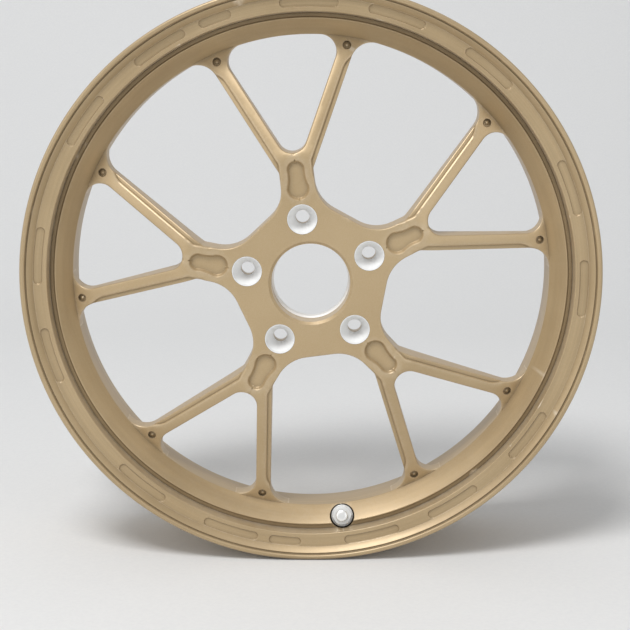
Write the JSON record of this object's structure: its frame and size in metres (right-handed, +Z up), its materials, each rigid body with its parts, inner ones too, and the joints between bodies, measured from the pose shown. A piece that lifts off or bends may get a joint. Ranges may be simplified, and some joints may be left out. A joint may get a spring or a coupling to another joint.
{
  "type": "wheel rim",
  "caption": "Forged racing wheel rim with forked Y arms, a dished drop-centre rim, conical lug seats, a hub-centring ring and a clamp-in tyre valve.",
  "frame": {"origin": "on the wheel's axis, midway between the two tyre flanges", "axes": "+Y along the wheel's axis towards the vehicle, the front face looks along -Y, +Z up"},
  "size_m": [0.5176, 0.1493, 0.5175],
  "materials": {
    "paint": "satin bronze paint",
    "bare": "turned",
    "steel": "plated",
    "brass": "turned",
    "rubber": "moulded"
  },
  "bodies": {
    "wheel": {"hub": "paint", "rim_face": "paint", "rim_front_flange": "paint", "rim_well": "paint", "rim_ramp": "paint", "rim_rear_seat": "paint", "rim_rear_flange": "paint", "spoke_1": "paint", "spoke_2": "paint", "spoke_3": "paint", "spoke_4": "paint", "spoke_5": "paint", "spoke_6": "paint", "spoke_7": "paint", "spoke_8": "paint", "spoke_9": "paint", "spoke_10": "paint", "lug_seat_1": "bare", "lug_seat_2": "bare", "lug_seat_3": "bare", "lug_seat_4": "bare", "lug_seat_5": "bare", "centring_ring": "bare", "valve_stem": "steel", "valve_inner_seal": "rubber", "valve_rubber_washer": "rubber", "valve_plate_washer": "steel", "valve_nut": "steel", "core_barrel": "brass", "core_barrel_seal": "rubber", "core_spring": "steel"},
    "cap_lift": {"valve_cap_liner": "rubber"},
    "cap": {"valve_cap": "steel"},
    "valve_pin": {"core_pin": "brass", "core_cup": "rubber"}
  },
  "joints": [
    {"name": "cap_lift", "type": "slide", "parent": "wheel", "child": "cap_lift", "axis": [-0.0395, -0.9511, 0.3065], "range_m": [0, 0.00397]},
    {"name": "cap_spin", "type": "hinge", "parent": "cap_lift", "child": "cap", "pos_m": [0.0291, -0.041, -0.22562], "axis": [-0.0395, -0.9511, 0.3065], "range_deg": [0, 1800]},
    {"name": "pin_press", "type": "slide", "parent": "wheel", "child": "valve_pin", "axis": [0.0395, 0.9511, -0.3065], "range_m": [0, 0.0012], "stiffness_N_per_m": 800, "springref_m": -0.002, "deforming": ["core_spring"]}
  ],
  "couplings": [
    {"joint": "cap_spin", "follows": "cap_lift", "rad_per_m": 7915.8}
  ]
}
